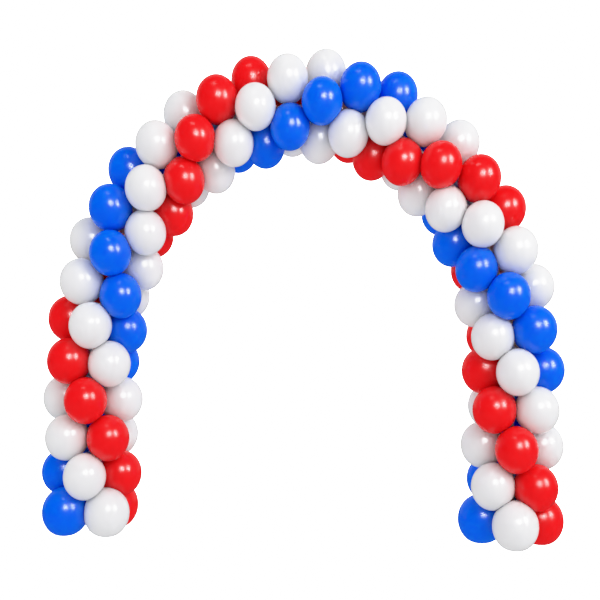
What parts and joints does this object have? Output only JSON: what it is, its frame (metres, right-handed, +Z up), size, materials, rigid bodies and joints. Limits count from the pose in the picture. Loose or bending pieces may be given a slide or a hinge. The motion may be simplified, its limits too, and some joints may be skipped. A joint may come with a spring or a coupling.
{
  "type": "balloon arch on a bent rod",
  "caption": "Free-standing archway of round balloons in clusters of four, threaded on one bent rod, with coloured bands winding round it.",
  "frame": {"origin": "on the ground, midway between the two feet of the arch", "axes": "+X along the width of the arch, from its left foot to its right foot seen from the front; -Y is the front, +Y the back; +Z up"},
  "size_m": [2.98, 0.58, 2.7942],
  "materials": {
    "latex_white": "glossy blown-up latex, white",
    "latex_red": "glossy blown-up latex, red",
    "latex_blue": "glossy blown-up latex, blue",
    "rod": "plain off-white plastic tube"
  },
  "bodies": {
    "root": {"cluster_01": "latex_blue", "cluster_02": "latex_white", "cluster_03": "latex_white", "cluster_04": "latex_red", "cluster_05": "latex_red", "cluster_06": "latex_white", "cluster_07": "latex_white", "cluster_08": "latex_blue", "cluster_09": "latex_blue", "cluster_10": "latex_white", "cluster_11": "latex_white", "cluster_12": "latex_red", "cluster_13": "latex_red", "cluster_14": "latex_white", "cluster_15": "latex_white", "cluster_16": "latex_blue", "cluster_17": "latex_blue", "cluster_18": "latex_white", "cluster_19": "latex_white", "cluster_20": "latex_red", "cluster_21": "latex_red", "cluster_22": "latex_white", "cluster_23": "latex_white", "cluster_24": "latex_blue", "cluster_25": "latex_blue", "cluster_26": "latex_white", "cluster_27": "latex_white", "cluster_28": "latex_red", "cluster_29": "latex_red", "cluster_30": "latex_white", "rod": "rod"}
  },
  "joints": []
}
